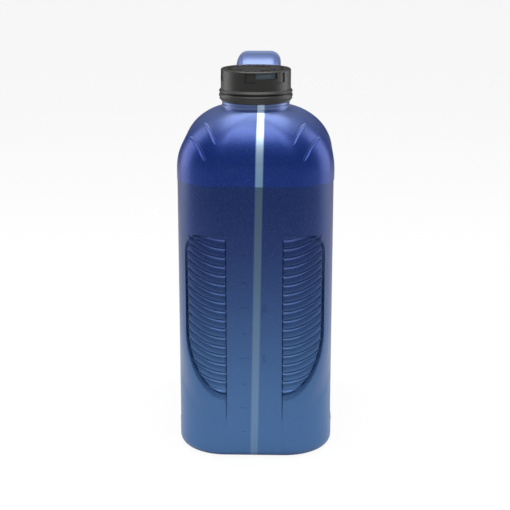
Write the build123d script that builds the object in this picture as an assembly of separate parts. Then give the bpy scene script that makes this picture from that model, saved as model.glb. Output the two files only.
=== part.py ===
from build123d import *
import math
import os

os.makedirs("parts", exist_ok=True)

# Five-litre motor oil bottle with a screw cap.
# Millimetres. +Z up, origin at the middle of the base, spout end towards -Y,
# carrying handle towards +Y, the two broad faces look along +X and -X.

# ---- overall sizes of the blow-moulded bottle
WIDTH = 129.0          # across the broad faces, X
DEPTH = 195.0          # spout end to handle end, Y
WALL = 2.0             # plastic thickness
CORNER_R = 40.0        # upright corners, and the shoulders that carry them on
BASE_EDGE_R = 8.0
FRONT = -DEPTH / 2
BACK = DEPTH / 2

# ---- shoulder, which closes in from the upright walls to the neck
FRONT_LEAN_Z = 247.0   # the spout end starts to lean in here
FRONT_LEAN_R = 64.7    # and leans in on this radius
SHOULDER_Z = 240.0     # the broad faces start to lean in here
SHOULDER_H = 52.5      # height of the ellipse they follow
SHOULDER_END = 66.0    # degrees of that ellipse, up to the seat of the neck
HEAD_BACK_Z = 227.0    # the wall in front of the finger gap starts to lean here
HEAD_BACK_R = 25.0     # its upright corners
HEAD_TOP_R = 25.5      # plan corners where the shoulder meets the neck seat
TAIL_Z = 182.0         # top of the body under the finger gap
TAIL_R = 22.0          # rounding of that top

# ---- handle and its finger gap
HANDLE_W = 38.0
HANDLE_T = 29.0
HANDLE_Z = 323.0       # top of the handle
HANDLE_EDGE_R = 9.0
HANDLE_FRONT_R = 30.0  # bend over the front of the handle
HANDLE_BACK_R = 46.0   # bend over the back of the handle
HANDLE_SLOPE = 55.0    # degrees, rise from the shoulder behind the cap
GAP_W = 32.0

# ---- neck, cap and band
NECK_Y = FRONT + 44.0
COLLAR_R = 27.5
COLLAR_Z = 294.3       # top of the collar, where the band stands
NECK_R = 22.0
MOUTH_R = 20.2
NECK_TOP = 316.0
BEAD_R = 24.6          # snap bead that keeps the band on the neck
BEAD_Z = 298.6
BAND_R = 29.9
BAND_TOP = 301.2
BAND_FOOT_R = 28.2
BAND_TEETH = 72
CAP_R = 28.4
CAP_TOP = 320.0
CAP_FOOT = 301.7       # a narrow slit over the band
CAP_WALL = 1.8
CAP_PLATE = 1.3        # thickness of the cap's top
INNER_GAP = 0.3        # between the two cap shells, round the side
INNER_WALL = 2.2
LINER_T = 1.0
LINER_R = 23.5
WINDOWS = (19.5, 139.5, 259.5)   # degrees from the spout end towards +X
WINDOW_HALF = 18.5
WINDOW_SILL = 314.2
WINDOW_HEAD = 318.5
NICHE_HALF = 9.0       # shallow niche each side of a window
NICHE_SILL = 310.8
NICHE_DEEP = 0.9

# ---- front face: centre panel, grips, level marks
PANEL_HALF = 22.6
PANEL_DEEP = 0.5
PANEL_TOP = 249.0
PANEL_EDGE = 1.8       # width of the bevel along each side of the panel
GRIP_TOP = 191.0
GRIP_FOOT = 55.0
GRIP_OUT = 55.6        # how far from the middle the grips reach
GRIP_BEND = 108.0      # the outer edge starts to curve in below this height
GRIP_DEEP = 0.7        # at the upper edge; the floor leans in towards the foot
GRIP_LEAN = 0.95       # degrees
GRIP_LIP = 2.0         # the edge goes down to the floor in fine steps over this width
LIP_STEPS = 4
RIBS = 16
RIB_FIRST = 180.2
RIB_PITCH = 7.58
RIB_CURVE_R = 55.0
GROOVE_H = 1.0
GROOVE_DEEP = 0.8
FLUTES = (((30.6, -96.6, 264.3), (34.5, -88.8, 272.2), (42.6, -72.5, 280.1)),
          ((39.0, -97.3, 249.4), (43.7, -90.3, 259.8), (54.1, -73.6, 268.3)))
FLUTE_R = 2.2
MARK_RAISE = 0.4
MARK_X = -8.6
NUMERAL_X = 8.2
NUMERAL_H = 4.6
LEVELS = ((22.9, 0), (43.9, 1), (64.9, 0), (87.3, 2), (108.3, 0),
          (130.4, 3), (151.9, 0), (174.3, 4), (202.0, 0))

# ---- labels on the broad faces, and the oil
LABEL_T = 0.3
LABEL_DEEP = 0.8
LABEL_MARGIN = 2.5     # recess round the label, behind and above
PANE_FRONT = 25.0      # the recess runs on to the round corner at the spout end
PANE_FOOT = 18.0       # and down towards the base
OIL_Z = 231.0
OIL_CLEAR = 0.1

# ---- base
FOOT_RIM = 14.0        # width of the rim the bottle stands on, with its rounded edge
FOOT_RISE = 2.0        # how far the middle of the base is pushed up


def box(x0, x1, y0, y1, z0, z1):
    """A plain block between two opposite corners."""
    block = Box(x1 - x0, y1 - y0, z1 - z0)
    return Pos((x0 + x1) / 2, (y0 + y1) / 2, (z0 + z1) / 2) * block


def disc(radius, z0, z1):
    """A round slab about the neck's axis."""
    slab = Cylinder(radius, z1 - z0)
    return Pos(0, NECK_Y, (z0 + z1) / 2) * slab


def turned(points):
    """A ring turned about the neck's axis from a section of (radius, z) points."""
    section = make_face(Polyline(*[(r, 0, z) for r, z in points], close=True))
    return Pos(0, NECK_Y, 0) * revolve(section, Axis.Z, 360)


def section(half, y0, y1, rf, rb, z):
    """Plan section: radius rf at the spout end's corners, rb at the other end's."""
    k = math.sqrt(0.5)
    line = [
        Line((-half + rf, y0), (half - rf, y0)),
        ThreePointArc((half - rf, y0), (half - rf + k * rf, y0 + rf - k * rf),
                      (half, y0 + rf)),
        Line((half, y0 + rf), (half, y1 - rb)),
        ThreePointArc((half, y1 - rb), (half - rb + k * rb, y1 - rb + k * rb),
                      (half - rb, y1)),
        Line((half - rb, y1), (-half + rb, y1)),
        ThreePointArc((-half + rb, y1), (-half + rb - k * rb, y1 - rb + k * rb),
                      (-half, y1 - rb)),
        Line((-half, y1 - rb), (-half, y0 + rf)),
        ThreePointArc((-half, y0 + rf), (-half + rf - k * rf, y0 + rf - k * rf),
                      (-half + rf, y0)),
    ]
    return Pos(0, 0, z) * make_face(line)


GAP_BACK = BACK - HANDLE_T
GAP_FRONT = GAP_BACK - GAP_W
NECK_BACK = NECK_Y + 31.5


def trunk(t):
    """The full-depth lower body, t mm inside the outer surface."""
    block = extrude(section(WIDTH / 2 - t, FRONT + t, BACK - t, CORNER_R - t,
                            CORNER_R - t, t), TAIL_Z - 2 * t)
    foot = block.faces().sort_by(Axis.Z)[0].edges()
    block = fillet(foot, BASE_EDGE_R - t)
    top = block.faces().sort_by(Axis.Z)[-1].edges()
    return fillet(top, TAIL_R - t)


def head(t):
    """The body in front of the finger gap, with the shoulders up to the neck."""
    half = WIDTH / 2
    column = extrude(section(half - t, FRONT + t, GAP_FRONT - t, CORNER_R - t,
                             HEAD_BACK_R - t, TAIL_Z - 2 * TAIL_R),
                     HEAD_BACK_Z - TAIL_Z + 2 * TAIL_R)
    end = math.sin(math.radians(SHOULDER_END))
    top = SHOULDER_Z + (SHOULDER_H - t) * end
    reach = GAP_FRONT - NECK_BACK
    rise = SHOULDER_Z + SHOULDER_H * end + 0.6 - HEAD_BACK_Z
    steps = [HEAD_BACK_Z, (HEAD_BACK_Z + SHOULDER_Z) / 2]
    for part in (0, 10, 20, 30, 40, 50, 58, SHOULDER_END):
        steps.append(SHOULDER_Z + (SHOULDER_H - t) * math.sin(math.radians(part)))
    plans = []
    for z in steps:
        up = max(0.0, z - SHOULDER_Z) / (SHOULDER_H - t)
        side = (half - t) * math.sqrt(1 - up * up)
        lean = FRONT_LEAN_R - t
        rise_front = max(0.0, z - FRONT_LEAN_Z)
        y0 = FRONT + FRONT_LEAN_R - math.sqrt(lean * lean - rise_front ** 2)
        back = (z - HEAD_BACK_Z) / (rise - t)
        y1 = NECK_BACK + (reach - t) * math.sqrt(1 - back * back)
        rf = CORNER_R - t + (HEAD_TOP_R - CORNER_R) * (up / end) ** 2
        plans.append(section(side, y0, y1, rf, HEAD_BACK_R - t, z))
    return column + loft(plans)


def handle(t):
    """The hollow handle as a thick slab with the finger gap through it."""
    a = math.radians(HANDLE_SLOPE)
    r = HANDLE_FRONT_R - t
    cy, cz = 30.0, HANDLE_Z - HANDLE_FRONT_R
    bend = (cy - r * math.sin(a), cz + r * math.cos(a))
    low = (bend[0] - 46.0 * math.cos(a), bend[1] - 46.0 * math.sin(a))
    mid = (cy - r * math.sin(a / 2), cz + r * math.cos(a / 2))
    rb = HANDLE_BACK_R - t
    by, bz = BACK - HANDLE_BACK_R, HANDLE_Z - HANDLE_BACK_R
    k = math.sqrt(0.5)
    foot = TAIL_Z - 2 * TAIL_R
    outline = [
        Line((low[0], foot), low),
        Line(low, bend),
        ThreePointArc(bend, mid, (cy, HANDLE_Z - t)),
        Line((cy, HANDLE_Z - t), (by, HANDLE_Z - t)),
        ThreePointArc((by, HANDLE_Z - t), (by + k * rb, bz + k * rb), (BACK - t, bz)),
        Line((BACK - t, bz), (BACK - t, foot)),
        Line((BACK - t, foot), (low[0], foot)),
    ]
    face = Plane.YZ * make_face(outline)
    slab = extrude(face, HANDLE_W / 2 - t, both=True)
    g = GAP_W / 2 + t
    gy = (GAP_FRONT + GAP_BACK) / 2
    gz = HANDLE_Z - HANDLE_T - GAP_W / 2
    slot = Pos(0, gy, gz) * Rot(0, 90, 0) * Cylinder(g, HANDLE_W + 2)
    slot += box(-HANDLE_W, HANDLE_W, gy - g, gy + g, foot - 5, gz)
    slab -= slot
    ends = slab.faces().filter_by(Axis.X)
    return fillet(ends.edges(), HANDLE_EDGE_R - t)


def form(t):
    """The whole bottle below the neck, t mm inside its outer surface."""
    return trunk(t) + head(t) + handle(t)


def grip_outline(grow, inner=0.0):
    """Front view of the right-hand grip: straight inside, rounded outside."""
    x0 = PANEL_HALF - inner
    x1 = GRIP_OUT + grow
    top = GRIP_TOP + grow
    foot = GRIP_FOOT - grow
    r = 18.0
    k = math.sqrt(0.5)
    edge = [
        Line((x0, foot), (x0, top)),
        Line((x0, top), (x1 - r, top)),
        ThreePointArc((x1 - r, top), (x1 - r + k * r, top - r + k * r), (x1, top - r)),
        Line((x1, top - r), (x1, GRIP_BEND)),
        Bezier((x1, GRIP_BEND), (x1, GRIP_BEND - 0.55 * (GRIP_BEND - foot)),
               (x0 + 0.55 * (x1 - x0), foot), (x0, foot)),
    ]
    return make_face(edge)


def through_front(face):
    """Push a front-view face through the spout half of the bottle."""
    return extrude(Plane.XZ * face, -FRONT + 5)


def grip_grooves():
    """Front view of the curved grooves that part the ribs of one grip."""
    field = grip_outline(-1.2, -1.2)
    grooves = []
    for i in range(RIBS):
        z = RIB_FIRST - i * RIB_PITCH + RIB_CURVE_R
        ring = Circle(RIB_CURVE_R) - Circle(RIB_CURVE_R - GROOVE_H)
        lower = Pos(0, -RIB_CURVE_R) * Rectangle(2 * RIB_CURVE_R, 2 * RIB_CURVE_R)
        grooves += (field & Pos(PANEL_HALF, z) * (ring & lower)).faces()
    return grooves


def numeral(digit, x, z):
    """Strokes of a plain raised numeral on the spout end."""
    h = NUMERAL_H / 2
    w = 1.4
    s = 0.35
    strokes = {
        1: [(0, -h, 0, h)],
        2: [(-w, h, w, h), (w, 0, w, h), (-w, 0, w, 0), (-w, -h, -w, 0), (-w, -h, w, -h)],
        3: [(-w, h, w, h), (w, -h, w, h), (-w, 0, w, 0), (-w, -h, w, -h)],
        4: [(-w, 0, -w, h), (-w, 0, w, 0), (w, -h, w, h)],
    }
    floor = FRONT + PANEL_DEEP
    return [box(x + a - s, x + c + s, floor - MARK_RAISE, floor + 0.6,
                z + b - s, z + d + s) for a, b, c, d in strokes[digit]]


def label_outline(front, foot, other):
    """Side view of a label, grown by these margins: its back follows the finger gap."""
    g = other
    corners = [(-50 - front, 40 - foot), (48 + g, 40 - foot), (48 + g, 128 + 0.4 * g),
               (8 + g, 168 + 0.4 * g), (8 + g, 228 + g), (-50 - front, 228 + g)]
    face = make_face(Polyline(*corners, close=True))
    return Plane.YZ * fillet(face.vertices(), 5.0)


def label(side):
    """A thin printed film seated in the recess of one broad face."""
    x = side * (WIDTH / 2 - LABEL_DEEP)
    film = extrude(label_outline(0, 0, 0), LABEL_T)
    return Pos(x - (LABEL_T if side < 0 else 0), 0, 0) * film


def grip_floor(t, share=1.0):
    """The bottle's form leant in at the foot of the grips, t mm behind their floor."""
    hinge = Pos(0, FRONT, GRIP_TOP)
    lean = Rot(GRIP_LEAN * share, 0, 0)
    return hinge * lean * hinge.inverse() * form(GRIP_DEEP * share + t)


OUTER = form(0.0)
SKIN_GROOVE = OUTER - grip_floor(GROOVE_DEEP)


def flute(low_end, middle, high_end):
    """A scooped crease that starts on the spout end and runs up over the shoulder."""
    path = ThreePointArc(low_end, middle, high_end)
    start = Plane(origin=path @ 0, z_dir=path % 0)
    return sweep(start * Circle(FLUTE_R), path=path)


def cavity(t):
    """The hollow of the bottle, with the grips and the base standing into it."""
    room = form(t)
    dent = through_front(grip_outline(t + GRIP_LIP, t)) & (OUTER - grip_floor(t))
    room -= dent
    room -= mirror(dent, Plane.YZ)
    rim = FOOT_RIM - t
    floor = section(WIDTH / 2 - rim, FRONT + rim, BACK - rim, CORNER_R - rim,
                    CORNER_R - rim, 0)
    return room - extrude(floor, FOOT_RISE + t)


def bottle(room):
    """The blow-moulded bottle: body, handle, neck, collar and raised marks."""
    half = WIDTH / 2
    rim = FOOT_RIM
    body = OUTER - extrude(section(half - rim, FRONT + rim, BACK - rim, CORNER_R - rim,
                                   CORNER_R - rim, 0), FOOT_RISE)
    for step in range(1, LIP_STEPS + 1):
        share = step / LIP_STEPS
        outline = grip_outline(GRIP_LIP * (1 - share))
        pocket = through_front(outline) & (OUTER - grip_floor(0.0, share))
        body -= pocket
        body -= mirror(pocket, Plane.YZ)
    for face in grip_grooves():
        cut = through_front(face) & SKIN_GROOVE
        body -= cut
        body -= mirror(cut, Plane.YZ)
    for ends in FLUTES:
        crease = flute(*ends)
        body -= crease
        body -= mirror(crease, Plane.YZ)
    w = PANEL_HALF
    d = PANEL_DEEP
    plan = make_face(Polyline((-w - PANEL_EDGE, FRONT), (-w - PANEL_EDGE, FRONT - 1),
                              (w + PANEL_EDGE, FRONT - 1), (w + PANEL_EDGE, FRONT),
                              (w, FRONT + d), (-w, FRONT + d), close=True))
    body -= extrude(plan, PANEL_TOP)
    for side in (1, -1):
        pane = extrude(label_outline(PANE_FRONT, PANE_FOOT, LABEL_MARGIN), 2.0)
        x = half - LABEL_DEEP if side > 0 else -half + LABEL_DEEP - 2.0
        body -= Pos(x, 0, 0) * pane
    marks = []
    for z, digit in LEVELS:
        w = 3.0 if digit else 1.8
        floor = FRONT + PANEL_DEEP
        marks.append(box(MARK_X - w, MARK_X + w, floor - MARK_RAISE, floor + 0.6,
                         z - 0.5, z + 0.5))
        if digit:
            marks += numeral(digit, NUMERAL_X, z)
    for mark in marks:
        body += mark
    body += turned([(0, 284), (COLLAR_R - 0.8, 284), (COLLAR_R - 0.8, 289.2),
                    (COLLAR_R, 289.6), (COLLAR_R, 291.4), (COLLAR_R - 0.5, 291.7),
                    (COLLAR_R - 0.5, 292.2), (COLLAR_R, 292.5), (COLLAR_R, 293.9),
                    (COLLAR_R - 0.4, COLLAR_Z), (NECK_R, COLLAR_Z),
                    (NECK_R, BEAD_Z - 0.9), (BEAD_R, BEAD_Z - 0.6), (BEAD_R, BEAD_Z),
                    (NECK_R, BEAD_Z + 2.2), (NECK_R, NECK_TOP - 0.6),
                    (NECK_R - 0.6, NECK_TOP), (0, NECK_TOP)])
    body -= disc(MOUTH_R, 278, NECK_TOP + 1)
    return body - room


def tamper_band():
    """The loose ring left on the neck, held down by the snap bead."""
    bore = BEAD_R + 0.4
    ring = turned([(bore, BAND_TOP), (bore, BEAD_Z - 0.9), (NECK_R + 0.5, BEAD_Z - 1.3),
                   (NECK_R + 0.5, COLLAR_Z), (BAND_FOOT_R, COLLAR_Z),
                   (BAND_R, COLLAR_Z + 4.0), (BAND_R, BAND_TOP - 1.8),
                   (BAND_R - 1.3, BAND_TOP)])
    mid = (BAND_FOOT_R + BAND_R) / 2
    pip = box(-0.45, 0.45, -1.5, 0.4, COLLAR_Z + 1.6, COLLAR_Z + 2.6)
    for i in range(BAND_TEETH):
        ring += Pos(0, NECK_Y, 0) * Rot(0, 0, i * 360 / BAND_TEETH) * Pos(0, mid, 0) * pip
    return ring


def cap_liner():
    """The soft disc that seals the mouth."""
    return disc(LINER_R, NECK_TOP, NECK_TOP + LINER_T)


def inner_cap():
    """The threaded inner shell, seen through the windows of the outer one."""
    r = CAP_R - CAP_WALL - INNER_GAP
    top = CAP_TOP - CAP_PLATE
    shell = disc(r, CAP_FOOT + 0.6, top)
    return shell - disc(r - INNER_WALL, CAP_FOOT - 1, NECK_TOP + LINER_T)


def wedge(middle, half, r0, r1, z0, z1):
    """A block between two radii, spread each side of a bearing from the spout end."""
    a0 = math.radians(middle - half - 90)
    a1 = math.radians(middle + half - 90)
    am = (a0 + a1) / 2
    edge = [
        Line((r0 * math.cos(a0), r0 * math.sin(a0)), (r1 * math.cos(a0), r1 * math.sin(a0))),
        ThreePointArc((r1 * math.cos(a0), r1 * math.sin(a0)),
                      (r1 * math.cos(am), r1 * math.sin(am)),
                      (r1 * math.cos(a1), r1 * math.sin(a1))),
        Line((r1 * math.cos(a1), r1 * math.sin(a1)), (r0 * math.cos(a1), r0 * math.sin(a1))),
        ThreePointArc((r0 * math.cos(a1), r0 * math.sin(a1)),
                      (r0 * math.cos(am), r0 * math.sin(am)),
                      (r0 * math.cos(a0), r0 * math.sin(a0))),
    ]
    return Pos(0, NECK_Y, z0) * extrude(make_face(edge), z1 - z0)


def outer_cap():
    """The outer shell: windows, niches, flared foot and turning marks on top."""
    bore = CAP_R - CAP_WALL
    top = CAP_TOP - CAP_PLATE
    shell = turned([(0, top), (bore, top), (bore, CAP_FOOT), (BAND_R - 0.1, CAP_FOOT),
                    (BAND_R - 0.1, CAP_FOOT + 0.9), (CAP_R, CAP_FOOT + 2.6),
                    (CAP_R, CAP_TOP - 0.8), (CAP_R - 0.8, CAP_TOP),
                    (CAP_R - 2.4, CAP_TOP), (CAP_R - 2.8, CAP_TOP - 0.4),
                    (0, CAP_TOP - 0.4)])
    for middle in WINDOWS:
        shell -= wedge(middle, WINDOW_HALF, bore - 1, CAP_R + 1, WINDOW_SILL, WINDOW_HEAD)
        for side in (-1, 1):
            shell -= wedge(middle + side * (WINDOW_HALF + NICHE_HALF), NICHE_HALF - 0.6,
                           CAP_R - NICHE_DEEP, CAP_R + 1, NICHE_SILL, WINDOW_HEAD)
    for i in range(3):
        shell += wedge(i * 120 + 40, 26, 15.0, 16.4, CAP_TOP - 0.8, CAP_TOP)
        shell += wedge(i * 120 + 66, 2.5, 13.4, 18.0, CAP_TOP - 0.8, CAP_TOP)
    for i in range(24):
        shell += wedge(i * 15, 2.2, 20.6, 23.0, CAP_TOP - 0.8, CAP_TOP)
    return shell


pieces = {
    "bottle": bottle(cavity(WALL)),
    "oil": cavity(WALL + OIL_CLEAR) & box(-WIDTH, WIDTH, -DEPTH, DEPTH, 0, OIL_Z),
    "tamper_band": tamper_band(),
    "cap_liner": cap_liner(),
    "inner_cap": inner_cap(),
    "outer_cap": outer_cap(),
    "label_right": label(1),
    "label_left": label(-1),
}

for name, solid in pieces.items():
    export_step(solid, "parts/" + name + ".step")
    print(name, round(solid.volume), len(solid.solids()), solid.is_valid)
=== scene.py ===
import math

import bpy
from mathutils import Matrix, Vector


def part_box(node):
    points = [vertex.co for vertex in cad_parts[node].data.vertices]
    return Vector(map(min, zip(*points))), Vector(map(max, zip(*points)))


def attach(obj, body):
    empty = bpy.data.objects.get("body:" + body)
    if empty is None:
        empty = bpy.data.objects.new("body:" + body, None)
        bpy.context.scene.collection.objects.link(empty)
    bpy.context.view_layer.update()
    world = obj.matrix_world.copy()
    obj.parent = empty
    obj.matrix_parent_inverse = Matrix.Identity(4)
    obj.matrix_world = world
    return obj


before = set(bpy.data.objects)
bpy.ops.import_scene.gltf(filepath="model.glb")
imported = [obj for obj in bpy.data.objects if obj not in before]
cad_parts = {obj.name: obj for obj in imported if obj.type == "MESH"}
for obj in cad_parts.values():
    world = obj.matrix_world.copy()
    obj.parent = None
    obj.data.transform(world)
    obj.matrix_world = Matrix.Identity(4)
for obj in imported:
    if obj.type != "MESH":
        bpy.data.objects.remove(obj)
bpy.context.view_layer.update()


# The bottle: one blow-moulded shell of pearl-blue polyethylene with its handle, neck and
# collar. A narrow stripe of clear plastic runs down the spout end and shows the oil. The
# wall is painted a duller blue up to the oil level, and painted floor light makes it greyer and
# lighter towards the foot.
class Wire:
    """A shader socket that takes part in plain arithmetic."""

    def __init__(self, paint, socket):
        self.paint = paint
        self.socket = socket

    def maths(self, operation, *values):
        return self.paint.node("ShaderNodeMath", {"operation": operation},
                               dict(enumerate(values)))

    def __add__(self, other):
        return self.maths("ADD", self, other)

    def __radd__(self, other):
        return self.maths("ADD", other, self)

    def __sub__(self, other):
        return self.maths("SUBTRACT", self, other)

    def __rsub__(self, other):
        return self.maths("SUBTRACT", other, self)

    def __mul__(self, other):
        return self.maths("MULTIPLY", self, other)

    def __rmul__(self, other):
        return self.maths("MULTIPLY", other, self)

    def __truediv__(self, other):
        return self.maths("DIVIDE", self, other)

    def __rtruediv__(self, other):
        return self.maths("DIVIDE", other, self)

    def __pow__(self, other):
        return self.maths("POWER", self, other)

    def __rpow__(self, other):
        return self.maths("POWER", other, self)

    def size(self):
        return self.maths("ABSOLUTE", self)

    def root(self):
        return self.maths("SQRT", self.most(0.0))

    def fraction(self):
        return self.maths("FRACT", self)

    def least(self, other):
        return self.maths("MINIMUM", self, other)

    def most(self, other):
        return self.maths("MAXIMUM", self, other)

    def rise(self, low, high):
        """0 below low, 1 above high, smooth between."""
        return self.paint.node("ShaderNodeMapRange", {"interpolation_type": "SMOOTHSTEP"},
                               {"Value": self, "From Min": low, "From Max": high})

    def fall(self, low, high):
        """1 below low, 0 above high, smooth between."""
        return 1.0 - self.rise(low, high)


class Nodes:
    """The nodes of one material or world, with one method that adds any of them."""

    def __init__(self, tree):
        self.tree = tree

    def join(self, value, socket):
        if isinstance(value, Wire):
            self.tree.links.new(value.socket, socket)
        else:
            socket.default_value = value

    def node(self, kind, settings, values, out=0):
        made = self.tree.nodes.new(kind)
        for name, value in settings.items():
            setattr(made, name, value)
        for name, value in values.items():
            self.join(value, made.inputs[name])
        return Wire(self, made.outputs[out])

    def ray(self, kind):
        return self.node("ShaderNodeLightPath", {}, {}, f"Is {kind} Ray")


class Paint(Nodes):
    """A material on one Principled shader, in the bottle's own coordinates."""

    def __init__(self, name):
        self.material = bpy.data.materials.new(name)
        self.material.use_nodes = True
        super().__init__(self.material.node_tree)
        self.shader = self.tree.nodes["Principled BSDF"]
        self.where = self.node("ShaderNodeTexCoord", {}, {}, "Object")
        self.x, self.y, self.z = (
            self.node("ShaderNodeSeparateXYZ", {}, {0: self.where}, axis) for axis in "XYZ")

    def mix(self, amount, first, second):
        return self.node("ShaderNodeMix", {"data_type": "RGBA"},
                         {0: amount, 6: first, 7: second}, 2)

    def noise(self, scale, detail, rough):
        return self.node("ShaderNodeTexNoise", {},
                         {"Vector": self.where, "Scale": scale, "Detail": detail,
                          "Roughness": rough})

    def bump(self, height):
        self.set(Normal=self.node("ShaderNodeBump", {}, {
            "Height": height, "Strength": 1.0, "Distance": 1.0}))

    def set(self, **sockets):
        for name, value in sockets.items():
            self.join(value, self.shader.inputs[name.replace("_", " ")])

    def cover(self, node):
        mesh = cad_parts[node].data
        mesh.materials.clear()
        mesh.materials.append(self.material)


def srgb(r, g, b):
    """A colour written as 0-255 screen values, as linear light."""
    out = []
    for c in (r, g, b):
        c /= 255
        out.append(c / 12.92 if c <= 0.04045 else ((c + 0.055) / 1.055) ** 2.4)
    return (*out, 1.0)


# Sizes of the bottle's spout end, where the stripe, the ribs and the grips are.
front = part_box("bottle")[0].y
OIL_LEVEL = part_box("oil")[1].z
LEVEL_BLUR = 0.0006
FRONT_ENDS = -0.050        # stripe, grips and ribs lie in front of this
FRONT_BLUR = 0.002
STRIPE_HALF = 0.0031
STRIPE_BLUR_IN = 0.0009
STRIPE_BLUR_OUT = 0.0006
STRIPE_X = 0.0002          # middle of the stripe at STRIPE_Z, and how far it leans
STRIPE_Z = 0.030
STRIPE_LEAN = 0.0172
PANEL_HALF = 0.0226
PANEL_BLUR = 0.001
GRIP_OUT = 0.0556
GRIP_TOP = 0.191
GRIP_FOOT = 0.055
GRIP_BEND = 0.108
RIB_FIRST = 0.1802
RIB_PITCH = 0.00758
RIB_CURVE_R = 0.055
RIB_HEIGHT = 0.0022
RIB_START = 40             # pitches to count down from, so that the count stays above 0
GROOVE = 0.0010
LIP_HEIGHT = 0.0020
GRAIN_HEIGHT = 0.00002

blue = Paint("pearl blue plastic")
x, y, z = blue.x, blue.y, blue.z
side = x.size()
on_front = y.fall(FRONT_ENDS - FRONT_BLUR, FRONT_ENDS)
filled = z.fall(OIL_LEVEL - LEVEL_BLUR, OIL_LEVEL + LEVEL_BLUR)

# The blue: deeper over the empty space and duller where oil stands behind it, greyer and
# lighter towards the foot with painted floor light, with a fine pearl grain, a darker random
# cloud, and paler up on the neck and handle with a painted highlight.
grain = blue.noise(900.0, 3.0, 0.7)
cloud = blue.noise(14.0, 2.0, 0.5)
# Painted floor light: below the oil level the blue turns greyer and lighter towards the foot.
oil_backed_painted_floor_light = blue.mix(z.rise(0.0, 0.215), srgb(62, 102, 150), srgb(16, 42, 100))
wall = blue.mix(filled, srgb(16, 48, 128), oil_backed_painted_floor_light)
wall = blue.mix(grain.rise(0.45, 0.75) * 0.10, wall, srgb(110, 146, 196))
wall = blue.mix(cloud * 0.10, wall, srgb(24, 50, 104))
# Painted highlight: the neck and the top of the handle are mixed towards a pale blue.
painted_highlight_neck = z.rise(0.262, 0.300) * 0.45
painted_highlight_handle = y.rise(0.020, 0.040) * z.rise(0.23, 0.29) * 0.8
wall = blue.mix(painted_highlight_neck.most(painted_highlight_handle), wall, srgb(150, 170, 212))

# The clear stripe, paler above the oil and greyer below it, with a painted highlight towards
# the shoulder, painted floor light towards the foot, and a dark parting line along its left
# edge near the top.
lean = STRIPE_X + (z - STRIPE_Z) * STRIPE_LEAN
stripe = (x - lean).size().fall(STRIPE_HALF - STRIPE_BLUR_IN, STRIPE_HALF + STRIPE_BLUR_OUT)
stripe = stripe * on_front
# Painted highlight: above the oil the stripe turns paler towards the shoulder.
empty = blue.mix(z.rise(0.232, 0.285), srgb(122, 158, 192), srgb(190, 210, 232))
# Painted floor light: below the oil the stripe turns lighter towards the foot.
stripe_oil_painted_floor_light = blue.mix(z.rise(0.020, 0.200), srgb(92, 124, 158), srgb(74, 98, 122))
skin = blue.mix(stripe, wall, blue.mix(filled, empty, stripe_oil_painted_floor_light))
seam = (x - lean + STRIPE_HALF).size().fall(0.0002, 0.0005)
seam = seam * on_front * z.rise(0.262, 0.275)
skin = blue.mix(seam * 0.6, skin, srgb(24, 40, 84))

# The ribs between the grooves of each grip: full at the foot, rounded back at the top.
across = side - PANEL_HALF
along = (GRIP_BEND - z).most(0.0)
bend = (across / (GRIP_OUT - PANEL_HALF)) ** 2 + (along / (GRIP_BEND - GRIP_FOOT)) ** 2
off_panel = side.rise(PANEL_HALF, PANEL_HALF + PANEL_BLUR)
inside = bend.fall(0.93, 1.0) * off_panel
inside = inside * z.fall(GRIP_TOP - 0.003, GRIP_TOP - 0.001) * on_front
curve = RIB_CURVE_R - (RIB_CURVE_R ** 2 - across * across).root()
count = (z - curve - (RIB_FIRST + GROOVE - RIB_START * RIB_PITCH)) / RIB_PITCH
up = (count.fraction() / (1.0 - GROOVE / RIB_PITCH)).least(1.0)
rib = (1.0 - up * up).root()
lip = bend.rise(0.90, 1.18) * bend.fall(1.2, 2.2) * on_front
lip = lip * off_panel * z.fall(0.085, 0.130)
fine = blue.noise(1500.0, 2.0, 0.6)
blue.set(Base_Color=skin, Metallic=0.5, Roughness=0.36, Specular_IOR_Level=0.4,
         Coat_Weight=0.12, Coat_Roughness=0.25)
blue.bump(rib * inside * RIB_HEIGHT + lip * LIP_HEIGHT + fine * GRAIN_HEIGHT)
blue.cover("bottle")


# The neck's thread: one ridge that climbs the neck two turns at 5 mm a turn, moulded
# with the bottle. It runs in the clearance between the neck and the inner cap.
NECK_Y = (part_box("cap_liner")[0].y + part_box("cap_liner")[1].y) / 2
THREAD_R = 0.0218
THREAD_FOOT = 0.3035
THREAD_PITCH = 0.005
THREAD_TURNS = 2
THREAD_STEPS = 72
THREAD_HALF = 0.0007
THREAD_CORNERS = 4
MERGE = 0.000001

bpy.ops.object.select_all(action="DESELECT")
bpy.ops.mesh.primitive_circle_add(
    vertices=THREAD_CORNERS, radius=THREAD_HALF, fill_type="NOTHING",
    location=(THREAD_R + THREAD_HALF, 0, THREAD_FOOT), rotation=(math.radians(90), 0, 0))
thread = bpy.context.object
thread.name = "neck_thread"
bpy.ops.object.transform_apply(location=True, rotation=True, scale=False)
climb = thread.modifiers.new("climb", "SCREW")
climb.axis = "Z"
climb.angle = math.radians(360)
climb.screw_offset = THREAD_PITCH
climb.iterations = THREAD_TURNS
climb.steps = climb.render_steps = THREAD_STEPS
bpy.ops.object.modifier_apply(modifier="climb")
bpy.ops.object.mode_set(mode="EDIT")
bpy.ops.mesh.select_all(action="SELECT")
bpy.ops.mesh.remove_doubles(threshold=MERGE)
bpy.ops.mesh.select_all(action="DESELECT")
bpy.ops.mesh.select_non_manifold()
bpy.ops.mesh.fill_holes(sides=THREAD_CORNERS)
bpy.ops.mesh.select_all(action="SELECT")
bpy.ops.mesh.normals_make_consistent(inside=False)
bpy.ops.object.mode_set(mode="OBJECT")
thread.location = (0, NECK_Y, 0)
bpy.ops.object.transform_apply(location=True, rotation=False, scale=False)
thread.data.materials.append(blue.material)
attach(thread, "bottle")


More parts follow.
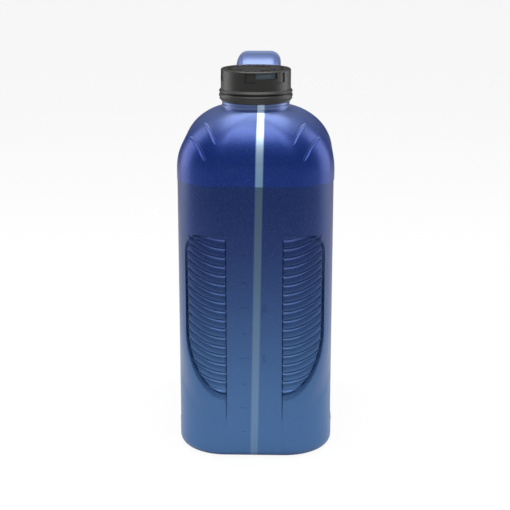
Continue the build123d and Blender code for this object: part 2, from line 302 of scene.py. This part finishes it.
# The oil: amber motor oil, filled to just under the shoulder. The wall in front of it
# is not see-through, so only the level painted on the wall shows where it stands.
amber = Paint("amber oil")
amber.set(Base_Color=srgb(120, 84, 30), Roughness=0.05)
amber.cover("oil")


# The tamper band and the outer cap: black polypropylene, moulded as one and parted at the
# first opening. The band stays on the neck under its snap bead.
PIT_HEIGHT = 0.00003

black = Paint("black cap plastic")
pits = black.noise(2200.0, 2.0, 0.6)
black.set(Base_Color=srgb(34, 34, 32), Roughness=0.42)
black.bump(pits * PIT_HEIGHT)
black.cover("tamper_band")
black.cover("outer_cap")


# The liner: a soft foam disc under the cap's top that seals the mouth of the neck.
CELL_HEIGHT = 0.00005

foam = Paint("liner foam")
cells = foam.noise(3000.0, 2.0, 0.6)
foam.set(Base_Color=srgb(225, 225, 220), Roughness=0.7)
foam.bump(cells * CELL_HEIGHT)
foam.cover("cap_liner")


# The inner cap: a grey shell that carries the thread, snapped into the outer one and seen
# through its windows.
grey = Paint("grey cap plastic")
grey.set(Base_Color=srgb(84, 98, 108), Roughness=0.45)
grey.cover("inner_cap")


# The labels: a thin printed film in a shallow recess on each broad face, with plain
# fields of colour.
FIELD_TOP = 0.1500         # where the upper field gives way to the middle one
FIELD_FOOT = 0.0600        # and the middle one to the blue foot
FIELD_BLUR = 0.0004

for node in ("label_left", "label_right"):
    film = Paint("label film " + node[6:])
    upper = film.z.rise(FIELD_TOP - FIELD_BLUR, FIELD_TOP)
    foot = film.z.fall(FIELD_FOOT, FIELD_FOOT + FIELD_BLUR)
    colour = film.mix(upper, srgb(186, 189, 194), srgb(168, 178, 194))
    colour = film.mix(foot, colour, srgb(60, 92, 150))
    film.set(Base_Color=colour, Roughness=0.35)
    film.cover(node)


# The studio: a pale floor that ends a little way in front, a white surround, and soft
# light from above, from in front and from both sides.
WHITE = (1.0, 1.0, 1.0, 1.0)
FLOOR_SIZE = 12.0
FLOOR_AHEAD = 0.75         # how far the floor runs on in front of the bottle
FLOOR_GREY = 0.85
FLOOR_SEEN_WHITE = 0.92

stone = Paint("studio floor")
stone.set(Base_Color=(FLOOR_GREY, FLOOR_GREY, FLOOR_GREY, 1.0), Roughness=0.9,
          Specular_IOR_Level=0.0)
glow = stone.node("ShaderNodeEmission", {}, {"Color": WHITE})
seen = stone.ray("Camera").most(stone.ray("Transmission")) * FLOOR_SEEN_WHITE
shader = Wire(stone, stone.shader.outputs[0])
blend = stone.node("ShaderNodeMixShader", {}, {0: seen, 1: shader, 2: glow})
stone.join(blend, stone.tree.nodes["Material Output"].inputs["Surface"])

bpy.ops.object.select_all(action="DESELECT")
bpy.ops.mesh.primitive_plane_add(size=FLOOR_SIZE,
                                 location=(0, front - FLOOR_AHEAD + FLOOR_SIZE / 2, 0))
floor = bpy.context.object
floor.name = "studio_floor"
floor.data.materials.append(stone.material)

world = bpy.data.worlds.new("studio")
bpy.context.scene.world = world
world.use_nodes = True
air = Nodes(world.node_tree)
air.tree.nodes.remove(air.tree.nodes["Background"])
dim = air.node("ShaderNodeBackground", {}, {"Color": (0.62, 0.64, 0.68, 1.0), "Strength": 0.16})
bright = air.node("ShaderNodeBackground", {}, {"Color": WHITE, "Strength": 1.0})
either = air.node("ShaderNodeMixShader", {}, {0: air.ray("Camera"), 1: dim, 2: bright})
air.join(either, air.tree.nodes["World Output"].inputs["Surface"])


def softbox(name, place, aim, wide, tall, power):
    """A rectangular lamp that faces a point."""
    lamp = bpy.data.lights.new(name, "AREA")
    lamp.shape = "RECTANGLE"
    lamp.size = wide
    lamp.size_y = tall
    lamp.energy = power
    box = bpy.data.objects.new(name, lamp)
    bpy.context.scene.collection.objects.link(box)
    box.location = place
    box.rotation_euler = (Vector(aim) - Vector(place)).to_track_quat("-Z", "Y").to_euler()


softbox("softbox top", (0.0, -0.05, 1.3), (0, 0, 0.1), 1.2, 1.2, 18)
softbox("softbox front", (0.0, -1.35, 1.3), (0, 0, 0.2), 1.2, 0.6, 13)
for name, across_x in (("left", -1.2), ("right", 1.2)):
    softbox("softbox " + name, (across_x, 0.35, 0.5), (0, 0, 0.15), 0.8, 1.4, 10)

EYE_X = 0.030
EYE_AHEAD = 1.0
EYE_Z = 0.440
EYE_DOWN = 14.8
EYE_TURN = 1.684

eye = bpy.data.cameras.new("camera")
eye.lens = 91.06
eye.sensor_width = 36.0
viewer = bpy.data.objects.new("camera", eye)
bpy.context.scene.collection.objects.link(viewer)
viewer.location = (EYE_X, front - EYE_AHEAD, EYE_Z)
viewer.rotation_euler = (math.radians(90 - EYE_DOWN), 0, math.radians(EYE_TURN))
bpy.context.scene.camera = viewer
bpy.context.scene.view_settings.view_transform = "Standard"
